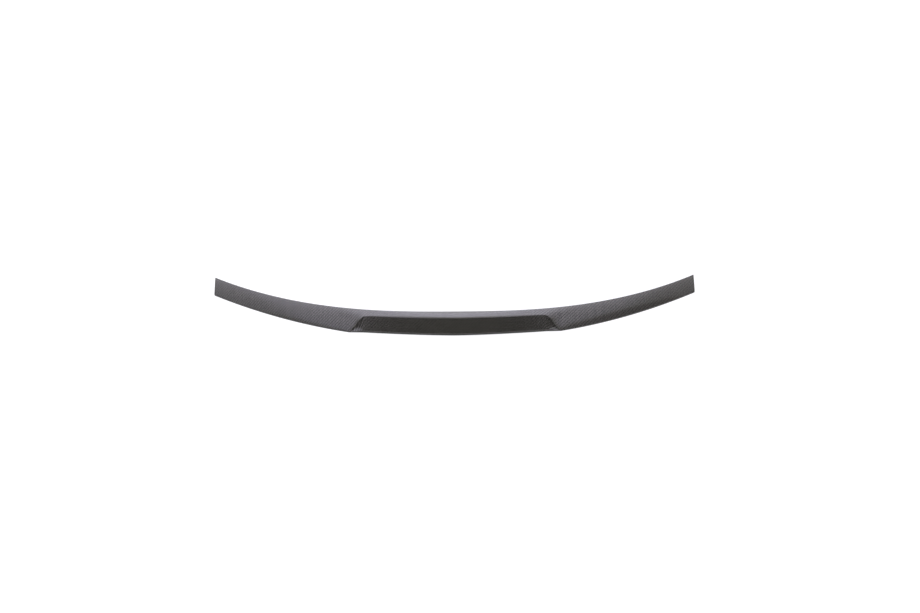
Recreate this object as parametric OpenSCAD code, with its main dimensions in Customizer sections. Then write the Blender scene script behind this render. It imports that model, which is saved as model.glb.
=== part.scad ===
// Boot-lid lip spoiler: one moulded laminate shell, thin walled and open underneath.
// X runs across the car, +Y points forward, +Z points up. The part stands on the foot of its
// rear edge in the plane Z = 0, and the origin is under the middle of its outline.
//
// The top is one smooth surface, given by its height over any place in the plan. Four rails run
// from tip to tip, and every cross-section hangs on them:
//   front  the free front edge of the top
//   crest  the rear edge of the top, high over the middle panel and low along the wings
//   bend   the foot of the rear panel, where the return turns in
//   ground the edge of the return, on which the part stands
// Between the middle and each wing the crest drops along a slanting crease. The three-cornered
// facet under each crease is what gives the part its look.

/* [Overall] */
// Width across the car, from tip to tip
span = 1200; // [1000:10:1500]
// Fore-and-aft depth at the middle
middle_depth = 47; // [42:1:60]
// Thickness of the laminate, measured in the fore-and-aft section
wall = 2; // [1.2:0.1:2.4]

/* [Front edge] */
// How much further forward the front edge stands at the tips than at the middle
front_sweep = 155; // [140:5:200]
// Power of the front edge's sweep: 2 is a parabola, more keeps the middle straighter
front_curve = 2.55; // [2.2:0.05:3]
// Height of the front edge at the middle
front_h = 38; // [32:1:44]
// Height of the front edge at the tips
tip_h = 27; // [20:1:34]

/* [Raised middle] */
// Width of the raised trailing edge between its two corners
crest_w = 438; // [300:2:520]
// Height of the trailing edge at the middle
crest_h = 41.5; // [36:0.5:50]
// How much lower the trailing edge is at its corners
crest_fall = 7; // [4:0.5:9]
// How far the trailing edge stands forward of the foot of the rear panel, at the middle
crest_setback = 17; // [8:0.5:20]
// The same at the corners of the trailing edge, where the panel leans back further
corner_setback = 23.5; // [20:0.5:25]
// Radius along the trailing edge, which shrinks down the creases to the lip's
crest_round = 6; // [3:0.5:8]
// Crown of the narrow top strip in front of the trailing edge
strip_crown = 0.8; // [0:0.1:2]
// How far the foot of the rear panel bows forward from its middle to its ends
panel_bow = 13.7; // [6:0.1:20]
// Power of that bow
panel_curve = 1.5; // [1.2:0.1:2.5]
// Height of the foot of the rear panel above the ground
panel_foot_h = 6.5; // [4:0.5:9]
// How far the return under the panel turns in on its way to the ground
panel_tuck = 1.2; // [0.5:0.1:3]

/* [Corner facets] */
// Width of each facet, from the trailing edge's corner out to the wing's lip
facet_w = 37; // [24:1:60]
// How much wider the panel's foot is than its trailing edge, at each end
facet_foot_out = 2; // [0:0.5:8]
// How far the rear edge steps forward across the facet
facet_step = 0.8; // [0:0.1:4]
// Depth of the shallow scoop in each facet
facet_hollow = 2; // [0:0.1:3]
// Power of the crease's way back: 1 is straight, more keeps it forward near the corner
crease_curve = 1.33; // [1:0.01:1.6]
// How far inside the corner the top surface begins to turn down to the wing
ramp_lead = 24; // [10:1:40]
// The same along the front edge
ramp_front_lead = 60; // [20:5:90]
// How far outside the facet that turn reaches along the front edge
ramp_spread = 150; // [60:5:180]

/* [Wings] */
// Angle at which the wing's rear edge leaves the facet, seen from above
wing_angle = 13.7; // [8:0.1:20]
// Further sweep of the wing's rear edge at the tip
wing_sweep = 63.5; // [40:0.5:75]
// Height of the lip along the wing's rear edge
lip_h = 4.2; // [3:0.1:6]
// Height of the lip's foot, where its return turns in
lip_foot_h = 1.5; // [1:0.1:2]
// How far that return turns in
lip_tuck = 0.5; // [0.2:0.1:1]
// Lean of the lip from the level
lip_lean = 85; // [70:1:90]
// Radius along the lip's top
lip_round = 1.2; // [0.8:0.1:2]
// Crown of the wing beside the facet
root_crown = 3.4; // [1:0.1:5]
// Crown of the wing at the tip
tip_crown = 2; // [0.5:0.1:3]
// Thickness of the wall that closes each tip
end_wall = 2.5; // [1.5:0.1:4]
// Draft over which the laminate thickens into that wall
end_draft = 1.5; // [0.5:0.1:3]

/* [Smoothness] */
// Sections along each wing
wing_steps = 26; // [12:1:30]
// Sections across each facet
facet_steps = 7; // [4:1:10]
// Sections along half of the raised middle
middle_steps = 14; // [8:1:18]
// Segments across the top surface
top_steps = 12; // [6:1:14]
// Segments round the trailing edge
round_steps = 4; // [2:1:5]
// Segments down the rear panel
panel_steps = 4; // [2:1:5]

/* [Hidden] */

half_span = span / 2;
crest_half = crest_w / 2;
facet_end = crest_half + facet_w;
overall_depth = middle_depth + front_sweep;
lip_setback = (lip_h - lip_foot_h) / tan(lip_lean);
// Power of the ramp's narrowing on its way back from the front edge
ramp_power = 3;
// Power with which the edge's radius shrinks along the crease
crease_shrink = 0.6;
// The sharpest inside corner that the laminate takes
inner_round = 0.4;
// Small share of a section over which its direction is taken
small_share = 0.02;

// Blends from 0 to 1 with level ends, the second also with level curvature there
function ease(s) = s * s * (3 - 2 * s);
function soft_ease(s) = pow(s, 3) * (s * (6 * s - 15) + 10);
function mix(a, b, s) = a + (b - a) * s;
function limit(s) = max(0, min(1, s));
// Share of the way across a facet and along a wing, for a section at x = u
function facet_share(u) = limit((abs(u) - crest_half) / facet_w);
function wing_share(u) = limit((abs(u) - facet_end) / (half_span - facet_end));
function middle_share(u) = limit(abs(u) / crest_half);

// Front rail
function front_y(x) = middle_depth + front_sweep * pow(abs(x) / half_span, front_curve);
function front_z(x) = mix(front_h, tip_h, pow(x / half_span, 2));

// Bend and ground rails, at the foot of the rear panel and of the lip
function bend_x(u) =
    abs(u) < facet_end
        ? u + sign(u) * facet_foot_out * middle_share(u) * (1 - facet_share(u))
        : u;
function bend_y(u) =
    panel_bow * pow(middle_share(u), panel_curve)
    + (facet_step + panel_tuck - lip_tuck) * facet_share(u)
    + tan(wing_angle) * (half_span - facet_end) * wing_share(u)
    + wing_sweep * wing_share(u) * wing_share(u);
function bend(u) = [bend_y(u), mix(panel_foot_h, lip_foot_h, facet_share(u))];
function ground(u) = [bend_y(u) + mix(panel_tuck, lip_tuck, facet_share(u)), 0];

// The top surface is one smooth sheet, given by its height over any place in the plan. It blends
// from the narrow strip in the middle into the sloping wings, quickly beside the creases and
// slowly along the front edge. Both sheets are carried on past their own borders for the blend.
function lip_y(x) =
    abs(x) > facet_end ? bend_y(x) + lip_setback
        : bend_y(facet_end) + lip_setback - tan(wing_angle) * (facet_end - abs(x));
function wing_back(x, y) = (front_y(x) - y) / (front_y(x) - lip_y(x));
function wing_z(x, y) =
    let (s = wing_back(x, y), crown = mix(root_crown, tip_crown, ease(wing_share(x))))
    mix(front_z(x), lip_h, s) + 4 * crown * s * (1 - s);
function strip_rear_y(x) =
    let (s = abs(x) / crest_half)
    panel_bow * pow(s, panel_curve) + mix(crest_setback, corner_setback, s * s);
function strip_z(x, y) =
    let (s = (front_y(x) - y) / (front_y(x) - strip_rear_y(x)),
         rear_z = crest_h - crest_fall * pow(x / crest_half, 2))
    mix(front_z(x), rear_z, s) + 4 * strip_crown * s * (1 - s);
function wing_blend(x, y) =
    let (widening = pow(1 - limit(wing_back(x, y)), ramp_power),
         ramp_start = crest_half - mix(ramp_lead, ramp_front_lead, widening),
         ramp_stop = facet_end + ramp_spread * widening)
    soft_ease(limit((abs(x) - ramp_start) / (ramp_stop - ramp_start)));
function top_z(x, y) = mix(strip_z(x, y), wing_z(x, y), wing_blend(x, y));

// Crest rail, on that surface: the trailing edge, then the crease, then the top of the wing's lip
function crest_y(u) =
    abs(u) < crest_half ? strip_rear_y(u)
        : mix(strip_rear_y(crest_half), lip_y(max(abs(u), facet_end)),
              pow(facet_share(u), crease_curve));
function crest(u) = [crest_y(u), top_z(u, crest_y(u))];
function edge_round(u) = mix(crest_round, lip_round, pow(facet_share(u), crease_shrink));

// A section's line over the top surface, from the front rail at s = 0 to the crest at s = 1. The
// lines fan out beside the facets and are back in line at the tips.
function front_x(u) = u + sign(u) * ramp_spread / 2 * ease(facet_share(u)) * (1 - wing_share(u));
function top_point(u, s) =
    let (x = mix(front_x(u), u, s), y = mix(front_y(front_x(u)), crest_y(u), s))
    [x, y, top_z(x, y)];
function top_direction(u, s) = unit(yz(top_point(u, s)) - yz(top_point(u, s - small_share)));

// Plane geometry of a section, in [y, z]
function unit(v) = v / norm(v);
function left(v) = [-v[1], v[0]];
function turn(a, v) = [cos(a) * v[0] - sin(a) * v[1], sin(a) * v[0] + cos(a) * v[1]];
function yz(p) = [p[1], p[2]];
// Corner of two walls set in by t from two edges with directions a and b
function mitre(a, b, t) = t * (left(a) + left(b)) / (1 + left(a) * left(b));

// Points of one face of a section, from the front edge over the crest to the ground. The outer
// face has inset = 0. The inner face is set in by the wall: its front edge is trimmed upright and
// its return is trimmed level, so that the part stands flat.
function face_line(u, inset) =
    let (d1 = top_direction(u, 1), d2 = unit(bend(u) - crest(u)), d3 = unit(ground(u) - bend(u)),
         corner = crest(u) + mitre(d1, d2, inset),
         foot = bend(u) + mitre(d2, d3, inset),
         bent = acos(d1 * d2),
         radius = inset == 0 ? edge_round(u) : max(edge_round(u) - inset, inner_round),
         set = radius * tan(bent / 2),
         reach = 1 - edge_round(u) * tan(bent / 2) / norm(yz(top_point(u, 0)) - crest(u)),
         centre = corner - d1 * set + radius * left(d1),
         stop = corner + d2 * set,
         scoop = facet_hollow * 4 * facet_share(u) * (1 - facet_share(u)))
    concat(
        [for (i = [0 : top_steps - 1])
            let (s = reach * i / top_steps, d = top_direction(u, s),
                 shift = i == 0 ? [0, inset / d[0]] : inset * left(d))
            top_point(u, s) + [0, shift[0], shift[1]]],
        [for (i = [0 : round_steps])
            let (p = centre - radius * turn(bent * i / round_steps, left(d1)))
            [mix(mix(front_x(u), u, reach), u, i / round_steps), p[0], p[1]]],
        [for (i = [1 : panel_steps])
            let (s = i / panel_steps, p = mix(stop, foot, s) + left(d2) * scoop * 4 * s * (1 - s))
            [mix(u, bend_x(u), s), p[0], p[1]]],
        [let (p = foot - d3 * foot[1] / d3[1]) [bend_x(u), p[0], p[1]]]);

function reversed(list) = [for (i = [len(list) - 1 : -1 : 0]) list[i]];
function centred(points) = [for (p = points) p - [0, overall_depth / 2, 0]];

// One ring of the shell: the outer face from front to ground, then the inner face back.
// Where solid is true the inner face is the straight line that closes the tip.
function ring(u, solid = false) =
    let (outer_line = face_line(u, 0), inner_line = face_line(u, wall),
         last = len(outer_line) - 1,
         closing_line = [for (i = [0 : last]) mix(inner_line[0], inner_line[last], i / last)])
    centred(concat(outer_line, reversed(solid ? closing_line : inner_line)));

// Sections from the middle out to one tip
tip_inside = half_span - end_wall;
half_sections = concat(
    [for (i = [1 : middle_steps]) crest_half * i / middle_steps],
    [for (i = [1 : facet_steps]) crest_half + facet_w * i / facet_steps],
    [for (i = [1 : wing_steps])
        facet_end + (tip_inside - end_draft - facet_end) * i / wing_steps]);
rings = concat(
    [ring(-half_span, true), ring(-tip_inside, true)],
    [for (u = reversed(half_sections)) ring(-u)],
    [ring(0)],
    [for (u = half_sections) ring(u)],
    [ring(tip_inside, true), ring(half_span, true)]);

// The laminate shell: rings joined by quads, and a strip of quads across each tip
module shell() {
    n = len(rings[0]);
    last = len(rings) - 1;
    side = n / 2 - 1;
    polyhedron(
        points = [for (r = rings) each r],
        faces = concat(
            [for (k = [0 : last - 1], i = [0 : n - 1])
                let (j = (i + 1) % n)
                each [[k * n + i, k * n + j, (k + 1) * n + j],
                      [k * n + i, (k + 1) * n + j, (k + 1) * n + i]]],
            [for (i = [0 : side - 1])
                [i, n - 1 - i, n - 2 - i, i + 1]],
            [for (i = [0 : side - 1])
                [last * n + i, last * n + i + 1, last * n + n - 2 - i, last * n + n - 1 - i]]));
}

module spoiler() {
    color("#5d5b60") shell();
}

spoiler();
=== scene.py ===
# %% [markdown]
# # A lip spoiler for a boot lid, moulded in carbon-fibre laminate
# The real part is one thin shell. Cloth woven from carbon tows is laid in a mould, soaked with
# resin, cured, trimmed and sprayed with a clear coat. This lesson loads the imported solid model,
# dresses it with one smooth shell of the same shape, weaves its cloth with shader nodes, and lights
# it as a small studio would.
#
# Everything is in metres, in the model's own frame: X across the car, Y forward, Z up.

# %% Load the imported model
import math

import bpy
from mathutils import Matrix, Vector


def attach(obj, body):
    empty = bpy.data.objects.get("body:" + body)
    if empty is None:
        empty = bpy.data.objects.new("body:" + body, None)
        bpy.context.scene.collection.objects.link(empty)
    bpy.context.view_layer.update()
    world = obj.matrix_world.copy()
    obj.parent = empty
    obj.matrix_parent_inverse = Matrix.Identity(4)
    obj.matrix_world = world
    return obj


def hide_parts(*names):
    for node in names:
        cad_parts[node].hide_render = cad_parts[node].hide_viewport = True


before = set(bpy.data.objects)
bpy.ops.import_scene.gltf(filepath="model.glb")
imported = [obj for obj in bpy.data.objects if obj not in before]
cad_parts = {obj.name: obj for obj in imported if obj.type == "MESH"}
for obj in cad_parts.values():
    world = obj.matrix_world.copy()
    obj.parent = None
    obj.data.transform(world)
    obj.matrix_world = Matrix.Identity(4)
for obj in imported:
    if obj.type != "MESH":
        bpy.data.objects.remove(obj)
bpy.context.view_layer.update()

# %% [markdown]
# ## The sizes
# The solid model is faceted, because it is lofted from straight pieces. A glossy coat shows each
# facet, so the shell is lofted again here, far finer, from the same sizes. They could be measured
# from the loaded mesh instead, but named sizes say what each one is for.

# %% Sizes of the spoiler, from the part's own source
mm = 0.001

half_span = 600 * mm
middle_depth = 47 * mm
wall = 2 * mm

front_sweep = 155 * mm
front_curve = 2.55
front_height = 38 * mm
tip_height = 27 * mm

crest_half = 219 * mm
crest_height = 41.5 * mm
crest_fall = 7 * mm
crest_setback = 17 * mm
corner_setback = 23.5 * mm
crest_round = 6 * mm
strip_crown = 0.8 * mm
panel_bow = 13.7 * mm
panel_curve = 1.5
panel_foot = 6.5 * mm
panel_tuck = 1.2 * mm

facet_width = 37 * mm
facet_foot_out = 2 * mm
facet_step = 0.8 * mm
facet_hollow = 2 * mm
crease_curve = 1.33
crease_shrink = 0.6
ramp_lead = 24 * mm
ramp_front_lead = 60 * mm
ramp_spread = 150 * mm
ramp_power = 3

wing_angle = math.radians(13.7)
wing_sweep = 63.5 * mm
lip_height = 4.2 * mm
lip_foot = 1.5 * mm
lip_tuck = 0.5 * mm
lip_lean = math.radians(85)
lip_round = 1.2 * mm
root_crown = 3.4 * mm
tip_crown = 2 * mm
end_wall = 2.5 * mm
end_draft = 1.5 * mm

inner_round = 0.4 * mm
small_share = 0.02
facet_end = crest_half + facet_width
ramp_start = crest_half - ramp_lead
lip_setback = (lip_height - lip_foot) / math.tan(lip_lean)
half_depth = (middle_depth + front_sweep) / 2
print("the spoiler is", 2 * half_span, "m wide and", 2 * half_depth, "m deep")

# %% [markdown]
# ## Rails
# A boat builder would bend battens from tip to tip and stretch the skin over them. The rails here
# do the same: the free front edge, the bend at the foot of the rear panel, the edge on which the
# part stands, and the crest. Each is a formula of the distance from the middle, so a section can be
# taken anywhere.

# %% Blends and shares
def mix(a, b, share):
    return a + (b - a) * share


def limit(share):
    return max(0.0, min(1.0, share))


def ease(share):
    return share * share * (3 - 2 * share)


def soft_ease(share):
    """Like ease, with level curvature at both ends too, which a glossy coat would show."""
    return share ** 3 * (share * (6 * share - 15) + 10)


def middle_share(x):
    return limit(abs(x) / crest_half)


def facet_share(x):
    return limit((abs(x) - crest_half) / facet_width)


def wing_share(x):
    return limit((abs(x) - facet_end) / (half_span - facet_end))


print("shares at the corner of the crest:", middle_share(crest_half), facet_share(crest_half))

# %% Front, bend and ground rails
def front_line(x):
    share = abs(x) / half_span
    y = middle_depth + front_sweep * share ** front_curve
    return Vector((y, mix(front_height, tip_height, share * share)))


def bend_x(x):
    if abs(x) >= facet_end:
        return x
    return x + math.copysign(facet_foot_out, x) * middle_share(x) * (1 - facet_share(x))


def bend_line(x):
    share = wing_share(x)
    y = panel_bow * middle_share(x) ** panel_curve
    y += (facet_step + panel_tuck - lip_tuck) * facet_share(x)
    y += math.tan(wing_angle) * (half_span - facet_end) * share + wing_sweep * share * share
    return Vector((y, mix(panel_foot, lip_foot, facet_share(x))))


def ground_line(x):
    tuck = mix(panel_tuck, lip_tuck, facet_share(x))
    return Vector((bend_line(x).x + tuck, 0))


for x in (0, crest_half, facet_end, half_span):
    print("at x =", x, "the front edge is", round(front_line(x).y, 4), "m high")

# %% [markdown]
# ## One smooth top
# The narrow strip in the middle and the two sloping wings are one skin, with no line between them.
# Two patches could be joined with a fillet, but a fillet leaves a visible border in a glossy coat.
# So the skin is a height over every place in the plan: the strip's height and the wing's height,
# blended quickly beside the creases and slowly along the front edge.

# %% Height of the top
def lip_y(x):
    if abs(x) > facet_end:
        return bend_line(x).x + lip_setback
    return bend_line(facet_end).x + lip_setback - math.tan(wing_angle) * (facet_end - abs(x))


def wing_back(x, y):
    front = front_line(x).x
    return (front - y) / (front - lip_y(x))


def wing_height(x, y):
    share = wing_back(x, y)
    crown = mix(root_crown, tip_crown, ease(wing_share(x)))
    return mix(front_line(x).y, lip_height, share) + 4 * crown * share * (1 - share)


def strip_rear(x):
    share = abs(x) / crest_half
    y = panel_bow * share ** panel_curve + mix(crest_setback, corner_setback, share * share)
    return Vector((y, crest_height - crest_fall * share * share))


def strip_height(x, y):
    front = front_line(x)
    rear = strip_rear(x)
    share = (front.x - y) / (front.x - rear.x)
    return mix(front.y, rear.y, share) + 4 * strip_crown * share * (1 - share)


def wing_blend(x, y):
    widening = (1 - limit(wing_back(x, y))) ** ramp_power
    start = crest_half - mix(ramp_lead, ramp_front_lead, widening)
    stop = facet_end + ramp_spread * widening
    return soft_ease(limit((abs(x) - start) / (stop - start)))


def top_height(x, y):
    return mix(strip_height(x, y), wing_height(x, y), wing_blend(x, y))


print("heights half way back:", [round(top_height(x, (front_line(x).x + lip_y(x)) / 2), 4)
                                 for x in (0.15, 0.25, 0.35, 0.45)])

# %% Crest rail and the lines over the top
def crest_line(x):
    if abs(x) < crest_half:
        y = strip_rear(x).x
    else:
        back = facet_share(x) ** crease_curve
        y = mix(strip_rear(crest_half).x, lip_y(max(abs(x), facet_end)), back)
    return Vector((y, top_height(x, y)))


def edge_round(x):
    return mix(crest_round, lip_round, facet_share(x) ** crease_shrink)


def front_x(x):
    lead = ramp_spread / 2 * ease(facet_share(x)) * (1 - wing_share(x))
    return x + math.copysign(lead, x)


def top_point(x, share):
    """A point on the top: its x, and its place in the section."""
    start_x = front_x(x)
    point_x = mix(start_x, x, share)
    y = mix(front_line(start_x).x, crest_line(x).x, share)
    return point_x, Vector((y, top_height(point_x, y)))


def top_direction(x, share):
    return (top_point(x, share)[1] - top_point(x, share - small_share)[1]).normalized()


for x in (0, crest_half, (crest_half + facet_end) / 2, facet_end):
    print("at x =", round(x, 4), "the crest is", round(crest_line(x).y, 4), "m high")

# %% [markdown]
# ## One section
# A section is an outline with a Y and a Z. It runs over the top, round the crest, down the rear
# panel to the foot, and back along the inner face, one wall thickness inside. A trimmed laminate
# never has a knife edge, so every corner gets a small arc. Without those arcs no edge would catch
# the light.

# %% Plane geometry
def left_of(direction):
    return Vector((-direction.y, direction.x))


def mitre(before, after, thickness):
    inward = left_of(before) + left_of(after)
    return inward * (thickness / (1 + left_of(before).dot(left_of(after))))


def bend_between(before, after):
    return -before.angle_signed(after)


def arc(corner, before, after, radius, steps):
    """Points that round a corner, from the edge that comes in to the edge that goes out."""
    bend = bend_between(before, after)
    side = 1 if bend > 0 else -1
    setback = radius * math.tan(abs(bend) / 2)
    centre = corner - before * setback + left_of(before) * radius * side
    points = []
    for i in range(steps + 1):
        arm = Matrix.Rotation(bend * i / steps, 2) @ (left_of(before) * -radius * side)
        points.append(centre + arm)
    return points


def soft_steps(count):
    """Shares from 0 to 1, closer together at both ends."""
    return [(1 - math.cos(math.pi * i / count)) / 2 for i in range(count + 1)]


check = arc(Vector((0, 0)), Vector((0, 1)), Vector((-1, 0)), 1, 2)
print("a unit corner is rounded through", [tuple(round(v, 3) for v in p) for p in check])

# %% [markdown]
# ## A chain of points for each face
# Each point keeps the name of the face that starts at it, so that the shell knows later which part
# is coated cloth, which is bare cloth and which is a sawn edge.

# %% The chain along one face of the laminate
front_edge_round = 0.6 * mm
foot_edge_round = 0.3 * mm
panel_bend_round = 1.8 * mm
lip_bend_round = 0.6 * mm


def edge_directions(x):
    crest, bend, ground = crest_line(x), bend_line(x), ground_line(x)
    return top_direction(x, 1), (bend - crest).normalized(), (ground - bend).normalized()


def face_chain(x, inset, counts):
    """Points (x, place, zone) from the front edge to the foot's bend."""
    top_steps, round_steps, panel_steps, bend_steps = counts
    d1, d2, d3 = edge_directions(x)
    corner = crest_line(x) + mitre(d1, d2, inset)
    foot = bend_line(x) + mitre(d2, d3, inset)
    radius = edge_round(x) if inset == 0 else max(edge_round(x) - inset, inner_round)
    bend_radius = mix(panel_bend_round, lip_bend_round, facet_share(x)) + inset / 4
    crest_arc = arc(corner, d1, d2, radius, round_steps)
    bend_arc = arc(foot, d2, d3, bend_radius, bend_steps)
    length = (top_point(x, 0)[1] - crest_line(x)).length
    reach = 1 - edge_round(x) * math.tan(bend_between(d1, d2) / 2) / length
    start = 0.7 * (foot_edge_round if inset else front_edge_round) / length
    hollow = facet_hollow * 4 * facet_share(x) * (1 - facet_share(x))
    points = []
    for share in soft_steps(top_steps)[:-1]:
        share = mix(start, reach, share)
        point_x, place = top_point(x, share)
        points.append((point_x, place + left_of(top_direction(x, share)) * inset, "top"))
    for i, place in enumerate(crest_arc[:-1]):
        points.append((mix(mix(front_x(x), x, reach), x, i / round_steps), place, "top"))
    for share in soft_steps(panel_steps)[:-1]:
        place = crest_arc[-1].lerp(bend_arc[0], share)
        place += left_of(d2) * hollow * 4 * share * (1 - share)
        points.append((mix(x, bend_x(x), share), place, "panel"))
    for place in bend_arc[:-1]:
        points.append((bend_x(x), place, "panel"))
    points.append((bend_x(x), bend_arc[-1], "return"))
    return points


outside_counts = (30, 10, 16, 4)
inside_counts = (15, 5, 8, 3)
print("points along the outer face:", len(face_chain(0, 0, outside_counts)))

# %% [markdown]
# ## The whole loop of a section
# The loop starts on the sawn front edge, follows the outer face to the foot, crosses the sawn foot
# and comes back along the inner face. At the tips the inner face is a straight line instead, which
# fills the section and closes the end of the part.

# %% The closed loop
def section_loop(x, solid=False):
    up, level = Vector((0, 1)), Vector((1, 0))
    d0 = top_direction(x, 0)
    d1, d2, d3 = edge_directions(x)
    outer_front = top_point(x, 0)[1]
    inner_front = outer_front + Vector((0, wall / d0.x))
    inner_bend = bend_line(x) + mitre(d2, d3, wall)
    inner_ground = inner_bend - d3 * (inner_bend.y / d3.y)
    forward, back = -d0, -d3
    if solid:
        back = (inner_front - inner_ground).normalized()
        forward = back
    front = arc(outer_front, up, d0, front_edge_round, 3)
    foot = arc(ground_line(x), d3, level, foot_edge_round, 3)
    foot_inside = arc(inner_ground, level, back, foot_edge_round, 3)
    front_inside = arc(inner_front, forward, up, foot_edge_round, 3)

    loop = [(front_x(x), place, "sawn") for place in front[:-1]]
    loop += face_chain(x, 0, outside_counts)
    loop += [(bend_x(x), place, "sawn") for place in foot]
    loop += [(bend_x(x), place, "inside panel") for place in foot_inside]
    inside = face_chain(x, wall, inside_counts)
    if solid:
        count = len(inside)
        inside = [(mix(front_x(x), bend_x(x), i / count), inner_front.lerp(inner_ground, i / count), zone)
                  for i, (_, _, zone) in enumerate(inside)]
    for i in range(len(inside) - 1, 0, -1):
        loop.append((inside[i][0], inside[i][1], "inside " + inside[i - 1][2]))
    loop += [(front_x(x), place, "sawn") for place in front_inside]
    return loop


print("points round a section:", len(section_loop(0)), len(section_loop(half_span, True)))

# %% [markdown]
# ## Cloth coordinates
# A weave only looks right when the cloth lies on the surface without stretching. The cloth is
# unrolled from the front edge: one number tells how far across it a point is, the other how far
# down from that edge. The rear panel is measured from its own foot, because cloth can't follow a
# curved crest without a dart, and the corner facets are turned, as a fitted corner piece is.

# %% Unroll the cloth along the front edge
table_step = 1 * mm


def cloth_slope(x):
    rear = strip_rear(min(x, crest_half))
    front = front_line(x)
    strip = math.atan2(front.y - rear.y, front_line(min(x, crest_half)).x - rear.x)
    wing = math.atan2(front.y - lip_height, front.x - lip_y(x))
    share = limit((x - ramp_start) / (facet_end + 0.3 * ramp_spread - ramp_start))
    return mix(strip, wing, ease(share))


across_table = [0.0]
down_table = [0.0]
for i in range(round(half_span / table_step)):
    x = (i + 0.5) * table_step
    rise = (front_line(x + table_step / 2) - front_line(x - table_step / 2)) / table_step
    slope = Vector((math.cos(cloth_slope(x)), math.sin(cloth_slope(x))))
    along = rise.dot(slope)
    across_table.append(across_table[-1] + table_step * math.sqrt(1 + rise.length_squared - along ** 2))
    down_table.append(down_table[-1] + table_step * along)
print("half of the cloth is", round(across_table[-1], 4), "m long for a half span of", half_span)


def read_table(table, x):
    place = min(abs(x) / table_step, len(table) - 1.001)
    index = int(place)
    return mix(table[index], table[index + 1], place - index)


# %% Cloth position of a point
facet_turn = math.radians(22)
facet_middle = Vector((crest_half + 0.4 * facet_width, 14 * mm))


def cloth_top(x, place):
    down = (place - front_line(x)).length
    return Vector((math.copysign(read_table(across_table, x), x), read_table(down_table, x) - down))


def cloth_panel(x, place, ring_x):
    if abs(ring_x) > facet_end:
        return cloth_top(x, place)
    bend = bend_line(ring_x)
    point = Vector((x, math.copysign((place - bend).length, place.y - bend.y)))
    if abs(ring_x) > crest_half:
        side = math.copysign(1, ring_x)
        centre = Vector((facet_middle.x * side, facet_middle.y))
        point = Matrix.Rotation(facet_turn * side, 2) @ (point - centre) + centre
    return point


def cloth_position(zone, x, place, ring_x):
    if zone.endswith("panel"):
        return cloth_panel(x, place, ring_x)
    if zone == "sawn":
        front = front_line(x)
        if (place - front).length < 4 * wall:
            return Vector((x, front.y - place.y))
        return Vector((x, place.x - ground_line(ring_x).x))
    return cloth_top(x, place)


print("the cloth's corner at a tip:", tuple(cloth_top(half_span, crest_line(half_span))))

# %% [markdown]
# ## The sections across the car
# Sections stand close together where the shape turns fast, at the corner facets, and further apart
# along the wings. The last few at each tip shrink a little, which rounds the edge of the end.

# %% Where the sections stand
tip_inside = half_span - end_wall
tip_round = 0.6 * mm

half_rings = [crest_half * i / 64 for i in range(64)]
half_rings += [crest_half + facet_width * i / 32 for i in range(32)]
half_rings += [facet_end + (tip_inside - end_draft - facet_end) * i / 92 for i in range(93)]


def shrink(loop, amount):
    """Move every point of a closed loop inward."""
    count = len(loop)
    moved = []
    for i, (x, place, zone) in enumerate(loop):
        along = (loop[(i + 1) % count][1] - loop[i - 1][1]).normalized()
        moved.append((x, place + left_of(along) * amount, zone))
    return moved


def tip_loops(side):
    loops = [(side * tip_inside, section_loop(side * tip_inside, True), side * tip_inside)]
    for i in range(5):
        angle = math.pi / 2 * i / 4
        x = half_span - tip_round + tip_round * math.sin(angle)
        inset = min(tip_round * (1 - math.cos(angle)), 0.4 * mm)
        loops.append((side * x, shrink(section_loop(side * half_span, True), inset), side * half_span))
    return loops


rings = []
for x, loop, ring_x in reversed(tip_loops(-1)):
    rings.append((ring_x, [(x if abs(px) > tip_inside - mm else px, p, z) for px, p, z in loop]))
for x in [-x for x in reversed(half_rings[1:])] + half_rings:
    rings.append((x, section_loop(x)))
for x, loop, ring_x in tip_loops(1):
    rings.append((ring_x, [(x if abs(px) > tip_inside - mm else px, p, z) for px, p, z in loop]))
print(len(rings), "sections of", len(rings[0][1]), "points each")

# %% [markdown]
# ## The map for baked pictures
# When the part is exported, its node materials are painted into one square picture. A strip that
# is twenty times as long as it is wide would waste nearly all of it, so the strip is cut into
# three rows for the outside and three thinner rows for the inside, stacked in the square.

# %% Rows of the baked picture
row_scale = 0.98 / 0.43
outer_row = 0.19
inner_row = 0.105
row_gap = 0.008


def row_of(ring_x):
    return 0 if ring_x < -0.2 else (2 if ring_x >= 0.2 else 1)


def baked_position(x, depth, inside, row):
    start = (-0.6, -0.2, 0.2)[row]
    across = math.copysign(read_table(across_table, x), x)
    across -= math.copysign(read_table(across_table, start), start)
    if row == 0:
        across += 0.0
    u = 0.01 + across * row_scale
    if inside:
        v = 3 * (outer_row + row_gap) + row * (inner_row + row_gap) + 0.01
        return (u, v + depth * inner_row / 0.088)
    return (u, row * (outer_row + row_gap) + 0.01 + depth * outer_row / 0.088)


print("a cloth millimetre covers", round(row_scale * mm * 1024, 2), "pixels of a 1024 pixel picture")

# %% Build the shell
points = []
for ring_x, loop in rings:
    for x, place, zone in loop:
        points.append((x, place.x - half_depth, place.y))

loop_size = len(rings[0][1])
zones = [zone for _, _, zone in rings[len(rings) // 2][1]]
print("zones round a section:", sorted(set(zones)))
first_inside = zones.index("inside panel")
depths = []
for ring_x, loop in rings:
    run = [0.0]
    for a, b in zip(loop, loop[1:] + loop[:1]):
        run.append(run[-1] + (b[1] - a[1]).length)
    depths.append(run)

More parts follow.
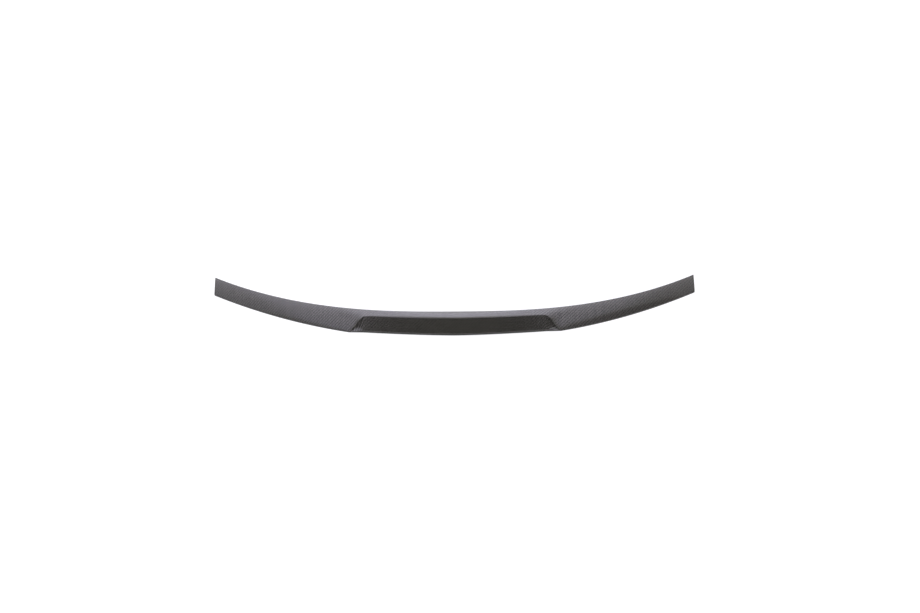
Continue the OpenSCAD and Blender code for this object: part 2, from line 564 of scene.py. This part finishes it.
faces = []
face_zones = []
cloth_uvs = []
baked_uvs = []
for k in range(len(rings) - 1):
    for i in range(loop_size):
        corners = [(k, i), (k, i + 1), (k + 1, i + 1), (k + 1, i)]
        faces.append([ring * loop_size + point % loop_size for ring, point in corners])
        middle_x = (rings[k][0] + rings[k + 1][0]) / 2
        # The lips of the wings take the return's near-black finish, which is painted shade.
        on_lip = zones[i] == "panel" and abs(middle_x) > facet_end
        face_zones.append("return" if on_lip else zones[i])
        row = row_of(middle_x)
        for ring, point in corners:
            x, place, _ = rings[ring][1][point % loop_size]
            ring_x = min(max(rings[ring][0], middle_x - 2 * mm), middle_x + 2 * mm)
            cloth_uvs.append(cloth_position(zones[i], x, place, middle_x))
            depth = depths[ring][point]
            if i >= first_inside:
                depth -= depths[ring][first_inside]
            baked_uvs.append(baked_position(x, depth, i >= first_inside, row))
for ring in (0, len(rings) - 1):
    order = range(loop_size) if ring else reversed(range(loop_size))
    faces.append([ring * loop_size + i for i in order])
    face_zones.append("end")
    for index in faces[-1]:
        x, y, z = points[index]
        cloth_uvs.append(Vector((y, z)))
        baked_uvs.append((0.1 + 0.3 * (ring > 0) + (y - 0.05) * 1.6, 0.945 + z * 1.6))
print(len(faces), "faces; cloth spans", round(min(uv[1] for uv in cloth_uvs), 3), "to",
      round(max(uv[1] for uv in cloth_uvs), 3), "m down")
print("the baked map spans", [round(f(uv[k] for uv in baked_uvs), 3) for k in (0, 1) for f in (min, max)])

mesh = bpy.data.meshes.new("spoiler_shell")
mesh.from_pydata(points, [], faces)
cloth_map = mesh.uv_layers.new(name="Cloth")
baked_map = mesh.uv_layers.new(name="OFBake")
for index, (cloth, baked) in enumerate(zip(cloth_uvs, baked_uvs)):
    cloth_map.data[index].uv = cloth
    baked_map.data[index].uv = baked
for polygon in mesh.polygons:
    polygon.use_smooth = face_zones[polygon.index] != "end"
spoiler_shell = bpy.data.objects.new("spoiler_shell", mesh)
bpy.context.scene.collection.objects.link(spoiler_shell)
print("shell of", len(mesh.vertices), "points,", sum(len(f) - 2 for f in faces), "triangles")

# %% Put the shell in the place of the faceted solid
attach(spoiler_shell, "root")
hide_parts("spoiler")

# %% [markdown]
# ## Small helpers for shader nodes
# Nodes can be added one by one in the editor. In a script three short helpers keep each material
# readable: one adds a node, one feeds a socket with a number or a link, one adds a maths node.

# %% Node helpers
def add_node(tree, kind, **settings):
    made = tree.nodes.new(kind)
    for name, value in settings.items():
        setattr(made, name, value)
    return made


def feed(tree, socket, value):
    if isinstance(value, bpy.types.NodeSocket):
        tree.links.new(value, socket)
    else:
        socket.default_value = value


def maths(tree, operation, *values):
    made = add_node(tree, "ShaderNodeMath", operation=operation)
    for socket, value in zip(made.inputs, values):
        feed(tree, socket, value)
    return made.outputs["Value"]


def blend_colours(tree, share, first, second):
    made = add_node(tree, "ShaderNodeMix", data_type="RGBA")
    feed(tree, made.inputs["Factor"], share)
    feed(tree, made.inputs["A"], first)
    feed(tree, made.inputs["B"], second)
    return made.outputs["Result"]


def soft_range(tree, value, low, high, to_low=0.0, to_high=1.0):
    made = add_node(tree, "ShaderNodeMapRange", interpolation_type="SMOOTHSTEP")
    for name, number in (("Value", value), ("From Min", low), ("From Max", high),
                         ("To Min", to_low), ("To Max", to_high)):
        feed(tree, made.inputs[name], number)
    return made.outputs["Result"]


print("node helpers are ready")

# %% [markdown]
# ## The twill weave
# In a two-by-two twill each tow passes over two others and under two, and every row is shifted by
# one. That shift draws the slanting lines that make carbon cloth easy to recognise. The weave could
# be a picture, but a formula stays sharp at any distance: whole numbers of the cloth position name
# the tow, and the difference between the two names says which tow lies on top.
#
# The group gives masks and values only. The coated face and the bare inner face both use it. Its
# height holds the oval of each tow, its arch over the others and, if asked, a lean.

# %% The weave as a node group
def make_twill_group():
    tree = bpy.data.node_groups.new("Twill weave", "ShaderNodeTree")
    tree.interface.new_socket("Cloth Position", in_out="INPUT", socket_type="NodeSocketVector")
    for name, value in (("Tow Width", 0.002), ("Waviness", 0.0002), ("Lean", 0.0)):
        socket = tree.interface.new_socket(name, in_out="INPUT", socket_type="NodeSocketFloat")
        socket.default_value = value
    for name in ("Warp", "Height", "Gap", "Tow Shade", "Filament"):
        tree.interface.new_socket(name, in_out="OUTPUT", socket_type="NodeSocketFloat")
    given = add_node(tree, "NodeGroupInput")
    result = add_node(tree, "NodeGroupOutput")

    # Tows are never perfectly straight: a slow noise pushes the whole cloth about.
    noise = add_node(tree, "ShaderNodeTexNoise", noise_dimensions="2D")
    noise.inputs["Scale"].default_value = 28
    noise.inputs["Detail"].default_value = 1
    tree.links.new(given.outputs["Cloth Position"], noise.inputs["Vector"])
    centred = add_node(tree, "ShaderNodeVectorMath", operation="SUBTRACT")
    tree.links.new(noise.outputs["Color"], centred.inputs[0])
    centred.inputs[1].default_value = (0.5, 0.5, 0.5)
    push = add_node(tree, "ShaderNodeVectorMath", operation="SCALE")
    tree.links.new(centred.outputs["Vector"], push.inputs[0])
    tree.links.new(given.outputs["Waviness"], push.inputs["Scale"])
    waved = add_node(tree, "ShaderNodeVectorMath", operation="ADD")
    tree.links.new(given.outputs["Cloth Position"], waved.inputs[0])
    tree.links.new(push.outputs["Vector"], waved.inputs[1])
    in_tows = add_node(tree, "ShaderNodeVectorMath", operation="SCALE")
    tree.links.new(waved.outputs["Vector"], in_tows.inputs[0])
    tree.links.new(maths(tree, "DIVIDE", 1.0, given.outputs["Tow Width"]), in_tows.inputs["Scale"])
    parts = add_node(tree, "ShaderNodeSeparateXYZ")
    tree.links.new(in_tows.outputs["Vector"], parts.inputs["Vector"])
    x, y = parts.outputs["X"], parts.outputs["Y"]

    # The number of the warp tow and of the weft tow, and the place along each float.
    warp_number = maths(tree, "FLOOR", x)
    weft_number = maths(tree, "FLOOR", y)
    along_warp = maths(tree, "WRAP", maths(tree, "SUBTRACT", y, warp_number), 2.0, -2.0)
    weft_start = maths(tree, "ADD", weft_number, 3.0)
    along_weft = maths(tree, "WRAP", maths(tree, "SUBTRACT", x, weft_start), 2.0, -2.0)
    warp_on_top = maths(tree, "LESS_THAN", maths(tree, "ABSOLUTE", along_warp), 1.0)

    def chosen(weft_value, warp_value):
        picked = add_node(tree, "ShaderNodeMix", data_type="FLOAT")
        feed(tree, picked.inputs["Factor"], warp_on_top)
        feed(tree, picked.inputs["A"], weft_value)
        feed(tree, picked.inputs["B"], warp_value)
        return picked.outputs["Result"]

    def from_middle(value):
        return maths(tree, "MULTIPLY_ADD", maths(tree, "FRACT", value), 2.0, -1.0)

    along = chosen(along_weft, along_warp)
    across = chosen(from_middle(y), from_middle(x))
    number = chosen(weft_number, maths(tree, "ADD", warp_number, 517.0))

    # A tow is a flat oval across and a low arch along.
    across_squared = maths(tree, "MULTIPLY", across, across)
    oval = maths(tree, "SQRT", maths(tree, "MULTIPLY_ADD", across_squared, -0.9, 1.0))
    arch = maths(tree, "COSINE", maths(tree, "MULTIPLY", along, 1.3))
    rounded = maths(tree, "MULTIPLY", oval, arch)
    lean = chosen(maths(tree, "MULTIPLY", across, 0.3), maths(tree, "MULTIPLY", along, -1.0))
    height = maths(tree, "MULTIPLY_ADD", lean, given.outputs["Lean"], rounded)

    # Resin fills the seams beside the tows and at the ends of the floats.
    side_seam = soft_range(tree, maths(tree, "ABSOLUTE", across), 0.72, 1.0)
    end_seam = soft_range(tree, maths(tree, "ABSOLUTE", along), 0.86, 1.0)
    gap = maths(tree, "MAXIMUM", side_seam, end_seam)

    # No two tows are the same black, and fine filaments run along each.
    shade = add_node(tree, "ShaderNodeTexWhiteNoise", noise_dimensions="1D")
    tree.links.new(number, shade.inputs["W"])
    filament_place = add_node(tree, "ShaderNodeCombineXYZ")
    feed(tree, filament_place.inputs["X"], maths(tree, "MULTIPLY_ADD", across, 6.0, number))
    feed(tree, filament_place.inputs["Y"], maths(tree, "MULTIPLY", along, 0.35))
    feed(tree, filament_place.inputs["Z"], number)
    filaments = add_node(tree, "ShaderNodeTexNoise", noise_dimensions="3D")
    filaments.inputs["Scale"].default_value = 1.0
    filaments.inputs["Detail"].default_value = 2
    tree.links.new(filament_place.outputs["Vector"], filaments.inputs["Vector"])

    tree.links.new(warp_on_top, result.inputs["Warp"])
    tree.links.new(height, result.inputs["Height"])
    tree.links.new(gap, result.inputs["Gap"])
    tree.links.new(shade.outputs["Value"], result.inputs["Tow Shade"])
    tree.links.new(filaments.outputs["Fac"], result.inputs["Filament"])
    return tree


twill = make_twill_group()
print("twill group with outputs", [s.name for s in twill.interface.items_tree if s.in_out == "OUTPUT"])

# %% [markdown]
# ## The finishes
# Four finishes are given to one laminate. The mould side is clear-coated, so it has a sharp gloss
# over the soft shine of the fibres. The inner side came off a vacuum bag: matt, with resin
# standing in the seams of the weave. The trimmed edges show the plies as thin stripes. Along the
# foot the cloth turns under tightly; there and on the lips of the wings a near-black finish is
# painted shade, for the shadowed floor close to the foot that these faces mirror.
#
# Fibres shine across their own direction, so tows that run fore and aft mirror another part of the
# room than tows that run along the span. An anisotropic shader would do this, but an export keeps
# only plain maps. Here each set of tows leans a few degrees its own way, which a normal map keeps,
# and the warp tows are painted a lighter base colour than the weft, a painted sheen for that shine.

# %% Clear-coated cloth
def place_twill(tree, width, waviness):
    cloth = add_node(tree, "ShaderNodeUVMap", uv_map="Cloth")
    weave = add_node(tree, "ShaderNodeGroup", node_tree=twill)
    tree.links.new(cloth.outputs["UV"], weave.inputs["Cloth Position"])
    weave.inputs["Tow Width"].default_value = width
    weave.inputs["Waviness"].default_value = waviness
    return weave


def shade_of(tree, weave, tow_share, filament_share):
    tow = maths(tree, "MULTIPLY_ADD", weave.outputs["Tow Shade"], tow_share, 1 - tow_share / 2)
    fine = maths(tree, "MULTIPLY_ADD", weave.outputs["Filament"], filament_share, 1 - filament_share / 2)
    return maths(tree, "MULTIPLY", tow, fine)


def new_material(name):
    material = bpy.data.materials.new(name)
    material.use_nodes = True
    return material, material.node_tree, material.node_tree.nodes["Principled BSDF"]


coated_cloth, tree, surface = new_material("Clear-coated twill")
weave = place_twill(tree, 2 * mm, 0.3 * mm)
weave.inputs["Lean"].default_value = 2.3
# The warp is painted lighter than the weft: a painted sheen that stands in for the fibres' directional
# shine.
fibre_with_painted_sheen = blend_colours(tree, weave.outputs["Warp"], (0.076, 0.074, 0.063, 1), (0.113, 0.109, 0.094, 1))
shaded = add_node(tree, "ShaderNodeVectorMath", operation="SCALE")
feed(tree, shaded.inputs[0], fibre_with_painted_sheen)
feed(tree, shaded.inputs["Scale"], shade_of(tree, weave, 0.25, 0.5))
resin_share = maths(tree, "MULTIPLY", weave.outputs["Gap"], 0.75)
colour = blend_colours(tree, resin_share, shaded.outputs["Vector"], (0.012, 0.011, 0.009, 1))
feed(tree, surface.inputs["Base Color"], colour)
feed(tree, surface.inputs["Roughness"], soft_range(tree, weave.outputs["Gap"], 0, 1, 0.22, 0.45))
surface.inputs["Metallic"].default_value = 0.8
surface.inputs["Coat Weight"].default_value = 1.0
surface.inputs["Coat Roughness"].default_value = 0.04
bump = add_node(tree, "ShaderNodeBump")
bump.inputs["Strength"].default_value = 1.0
bump.inputs["Distance"].default_value = 0.2 * mm
feed(tree, bump.inputs["Height"], weave.outputs["Height"])
feed(tree, surface.inputs["Normal"], bump.outputs["Normal"])
print("made", coated_cloth.name)

# %% Bare cloth inside
bare_cloth, tree, surface = new_material("Bare twill")
weave = place_twill(tree, 2 * mm, 0.5 * mm)
# Here too the warp is painted a little lighter than the weft, a painted sheen for the fibres' shine.
fibre_with_painted_sheen = blend_colours(tree, weave.outputs["Warp"], (0.040, 0.040, 0.040, 1), (0.055, 0.055, 0.054, 1))
shaded = add_node(tree, "ShaderNodeVectorMath", operation="SCALE")
feed(tree, shaded.inputs[0], fibre_with_painted_sheen)
feed(tree, shaded.inputs["Scale"], shade_of(tree, weave, 0.35, 0.6))
colour = blend_colours(tree, weave.outputs["Gap"], shaded.outputs["Vector"], (0.020, 0.019, 0.017, 1))
feed(tree, surface.inputs["Base Color"], colour)
feed(tree, surface.inputs["Roughness"], soft_range(tree, weave.outputs["Gap"], 0, 1, 0.62, 0.38))
bump = add_node(tree, "ShaderNodeBump")
bump.inputs["Strength"].default_value = 1.0
bump.inputs["Distance"].default_value = 0.25 * mm
feed(tree, bump.inputs["Height"], weave.outputs["Height"])
feed(tree, surface.inputs["Normal"], bump.outputs["Normal"])
print("made", bare_cloth.name)

# %% Sawn edge
ply_thickness = 0.4 * mm

sawn_edge, tree, surface = new_material("Sawn laminate edge")
cloth = add_node(tree, "ShaderNodeUVMap", uv_map="Cloth")
parts = add_node(tree, "ShaderNodeSeparateXYZ")
tree.links.new(cloth.outputs["UV"], parts.inputs["Vector"])
ply = maths(tree, "SINE", maths(tree, "MULTIPLY", parts.outputs["Y"], 2 * math.pi / ply_thickness))
grain = add_node(tree, "ShaderNodeTexNoise", noise_dimensions="2D")
grain.inputs["Scale"].default_value = 900
tree.links.new(cloth.outputs["UV"], grain.inputs["Vector"])
mixed = maths(tree, "MULTIPLY_ADD", ply, 0.25, grain.outputs["Fac"])
colour = blend_colours(tree, mixed, (0.012, 0.012, 0.012, 1), (0.045, 0.043, 0.040, 1))
feed(tree, surface.inputs["Base Color"], colour)
feed(tree, surface.inputs["Roughness"], soft_range(tree, grain.outputs["Fac"], 0.3, 0.7, 0.4, 0.6))
print("made", sawn_edge.name)

# %% Near-black edge finish, painted shade
painted_shade_edge, tree, surface = new_material("Painted shade edge")
cloth = add_node(tree, "ShaderNodeUVMap", uv_map="Cloth")
cloud = add_node(tree, "ShaderNodeTexNoise", noise_dimensions="2D")
cloud.inputs["Scale"].default_value = 160
tree.links.new(cloth.outputs["UV"], cloud.inputs["Vector"])
# Near-black colour: painted shade for the shadowed floor that the return and the wing lips mirror.
colour = blend_colours(tree, cloud.outputs["Fac"], (0.006, 0.006, 0.005, 1), (0.016, 0.015, 0.013, 1))
feed(tree, surface.inputs["Base Color"], colour)
feed(tree, surface.inputs["Roughness"], soft_range(tree, cloud.outputs["Fac"], 0.3, 0.7, 0.3, 0.5))
print("made", painted_shade_edge.name)

# %% Give each face of the shell its finish
# Finish 3, on the return and the wing lips, is near-black painted shade.
finishes = {"top": 0, "panel": 0, "end": 0, "inside top": 1, "inside panel": 1, "inside return": 1,
            "sawn": 2, "return": 3}
for material in (coated_cloth, bare_cloth, sawn_edge, painted_shade_edge):
    mesh.materials.append(material)
for polygon in mesh.polygons:
    polygon.material_index = finishes[face_zones[polygon.index]]
print("faces per finish:", [sum(p.material_index == k for p in mesh.polygons) for k in range(4)])

# %% [markdown]
# ## The studio
# The floor is one pale sheet. A camera, a mirror or a pane of glass sees it as white paper that
# still keeps the object's shadow; for all other light it is an ordinary matt floor.

# %% Floor
floor_mesh = bpy.data.meshes.new("studio_floor")
reach = 8
floor_mesh.from_pydata([(-reach, -reach, 0), (reach, -reach, 0), (reach, reach, 0), (-reach, reach, 0)],
                       [], [(0, 1, 2, 3)])
studio_floor = bpy.data.objects.new("studio_floor", floor_mesh)
bpy.context.scene.collection.objects.link(studio_floor)

paper = bpy.data.materials.new("White paper")
paper.use_nodes = True
tree = paper.node_tree
tree.nodes.clear()
matt = add_node(tree, "ShaderNodeBsdfDiffuse")
matt.inputs["Color"].default_value = (0.75, 0.75, 0.75, 1)
faint = add_node(tree, "ShaderNodeBsdfDiffuse")
faint.inputs["Color"].default_value = (0.3, 0.3, 0.3, 1)
white = add_node(tree, "ShaderNodeEmission")
white.inputs["Strength"].default_value = 0.82
seen = add_node(tree, "ShaderNodeAddShader")
tree.links.new(faint.outputs["BSDF"], seen.inputs[0])
tree.links.new(white.outputs["Emission"], seen.inputs[1])
path = add_node(tree, "ShaderNodeLightPath")
either = maths(tree, "MAXIMUM", path.outputs["Is Camera Ray"], path.outputs["Is Glossy Ray"])
either = maths(tree, "MAXIMUM", either, path.outputs["Is Transmission Ray"])
choice = add_node(tree, "ShaderNodeMixShader")
tree.links.new(either, choice.inputs[0])
tree.links.new(matt.outputs["BSDF"], choice.inputs[1])
tree.links.new(seen.outputs["Shader"], choice.inputs[2])
output = add_node(tree, "ShaderNodeOutputMaterial")
tree.links.new(choice.outputs["Shader"], output.inputs["Surface"])
floor_mesh.materials.append(paper)
print("floor of", 2 * reach, "m a side")

# %% [markdown]
# ## Light from a cloth ceiling
# Gloss black is drawn by what it mirrors. A ceiling of stretched cloth stands over the part, and a
# brighter wall of it stands in front, so the wings and the crest mirror soft light. It ends above
# the camera, and the rear panel and its facets mirror the dark room behind. Lamps would show as
# shapes in the coat; a world with soft borders doesn't. Seen straight by a camera, or through
# glass, the room is the same white paper as the floor, and so it is in a mirror near the horizon.

# %% World
world = bpy.data.worlds.new("Soft studio")
world.use_nodes = True
bpy.context.scene.world = world
tree = world.node_tree
tree.nodes.clear()
way = add_node(tree, "ShaderNodeTexCoord")
parts = add_node(tree, "ShaderNodeSeparateXYZ")
tree.links.new(way.outputs["Generated"], parts.inputs["Vector"])
aside = maths(tree, "ABSOLUTE", parts.outputs["X"])
forward, upward = parts.outputs["Y"], parts.outputs["Z"]

front = soft_range(tree, forward, -0.3, 0.4, 0.0, 1.0)
front = maths(tree, "MULTIPLY", front, soft_range(tree, upward, 0.0, 0.45, 0.0, 1.0))
ceiling = maths(tree, "MAXIMUM", soft_range(tree, upward, 0.3, 0.6, 0.0, 1.0), front)
backward = maths(tree, "MULTIPLY_ADD", aside, -0.5, forward)
backward = maths(tree, "MULTIPLY_ADD", parts.outputs["X"], -0.10, backward)
ceiling = maths(tree, "MULTIPLY", ceiling, soft_range(tree, backward, -0.76, -0.65, 0.0, 1.0))
open_sides = soft_range(tree, aside, 0.04, 0.20, 0.10, 1.0)
open_front = soft_range(tree, forward, 0.25, 0.6, 0.0, 1.0)
open_part = maths(tree, "MAXIMUM", open_sides, open_front)
far_sides = soft_range(tree, aside, 0.5, 0.65, 1.0, 0.68)
leaning = maths(tree, "MULTIPLY_ADD", parts.outputs["X"], -0.2, 1.0)
sheet = maths(tree, "MULTIPLY", maths(tree, "MULTIPLY", ceiling, open_part),
              maths(tree, "MULTIPLY", far_sides, leaning))
front = maths(tree, "MULTIPLY", front, soft_range(tree, aside, 0.3, 0.7, 1.1, 0.2))
level = maths(tree, "MULTIPLY", sheet, maths(tree, "ADD", front, 1.15))
level = maths(tree, "ADD", level, 0.035)
sky = add_node(tree, "ShaderNodeBackground")
feed(tree, sky.inputs["Color"], blend_colours(tree, sheet, (1.0, 0.97, 0.84, 1), (0.97, 0.95, 1.15, 1)))
feed(tree, sky.inputs["Strength"], level)
paper_sky = add_node(tree, "ShaderNodeBackground")
paper_sky.inputs["Color"].default_value = (1, 1, 1, 1)
path = add_node(tree, "ShaderNodeLightPath")
choice = add_node(tree, "ShaderNodeMixShader")
plain = maths(tree, "MAXIMUM", path.outputs["Is Camera Ray"], path.outputs["Is Transmission Ray"])
horizon = soft_range(tree, upward, 0.03, 0.10, 1.0, 0.0)
horizon = maths(tree, "MULTIPLY", path.outputs["Is Glossy Ray"], horizon)
plain = maths(tree, "MAXIMUM", plain, horizon)
tree.links.new(plain, choice.inputs[0])
tree.links.new(sky.outputs["Background"], choice.inputs[1])
tree.links.new(paper_sky.outputs["Background"], choice.inputs[2])
output = add_node(tree, "ShaderNodeOutputWorld")
tree.links.new(choice.outputs["Shader"], output.inputs["Surface"])
print("the world's brightest part is the wall in front")

# %% Lamp
lamp_data = bpy.data.lights.new("softbox", "AREA")
lamp_data.shape = "SQUARE"
lamp_data.size = 2.4
lamp_data.energy = 18
lamp = bpy.data.objects.new("softbox", lamp_data)
lamp.location = (-0.9, -0.2, 3.0)
lamp.rotation_euler = (Vector((0, -0.05, 0)) - lamp.location).to_track_quat("-Z", "Y").to_euler()
lamp.visible_glossy = False
bpy.context.scene.collection.objects.link(lamp)
print("one softbox", lamp_data.size, "m wide at", tuple(lamp.location))

# %% [markdown]
# ## The camera
# The photograph was taken from behind and above, from some distance. Its outline was fitted with a
# camera 40 degrees above the floor and 3.5 m from the foot of the part. The picture is 920 pixels
# wide, and its middle doesn't fall on the part's middle, so the camera is aimed a little aside.

# %% Camera
picture_width = 920
picture_height = 613
focal_pixels = 1452
foot_in_picture = Vector((455.29, 337.12))
foot = Vector((0, -0.1058, 0))
distance = 3.5
elevation = math.radians(40)
azimuth = math.radians(-0.253)
roll = math.radians(0.224)

outward = Vector((0, -math.cos(elevation), math.sin(elevation)))
outward.rotate(Matrix.Rotation(azimuth, 3, "Z"))
right = Vector((1, 0, 0))
right.rotate(Matrix.Rotation(azimuth, 3, "Z"))
upward = outward.cross(right)
right, upward = (right * math.cos(roll) - upward * math.sin(roll),
                 right * math.sin(roll) + upward * math.cos(roll))
aside = picture_width / 2 - foot_in_picture.x
above = foot_in_picture.y - picture_height / 2
look = (-outward * focal_pixels + right * aside + upward * above).normalized()
right = (right - look * right.dot(look)).normalized()
upward = right.cross(look)

camera_data = bpy.data.cameras.new("camera")
camera_data.sensor_width = 36
camera_data.lens = 36 * focal_pixels / picture_width
camera_data.clip_end = 100
camera = bpy.data.objects.new("camera", camera_data)
camera.matrix_world = Matrix.Translation(foot + outward * distance) @ Matrix(
    (right, upward, -look)).transposed().to_4x4()
bpy.context.scene.collection.objects.link(camera)
bpy.context.scene.camera = camera
bpy.context.scene.view_settings.view_transform = "Standard"
print("camera at", tuple(round(v, 3) for v in camera.location), "lens", round(camera_data.lens, 1), "mm")
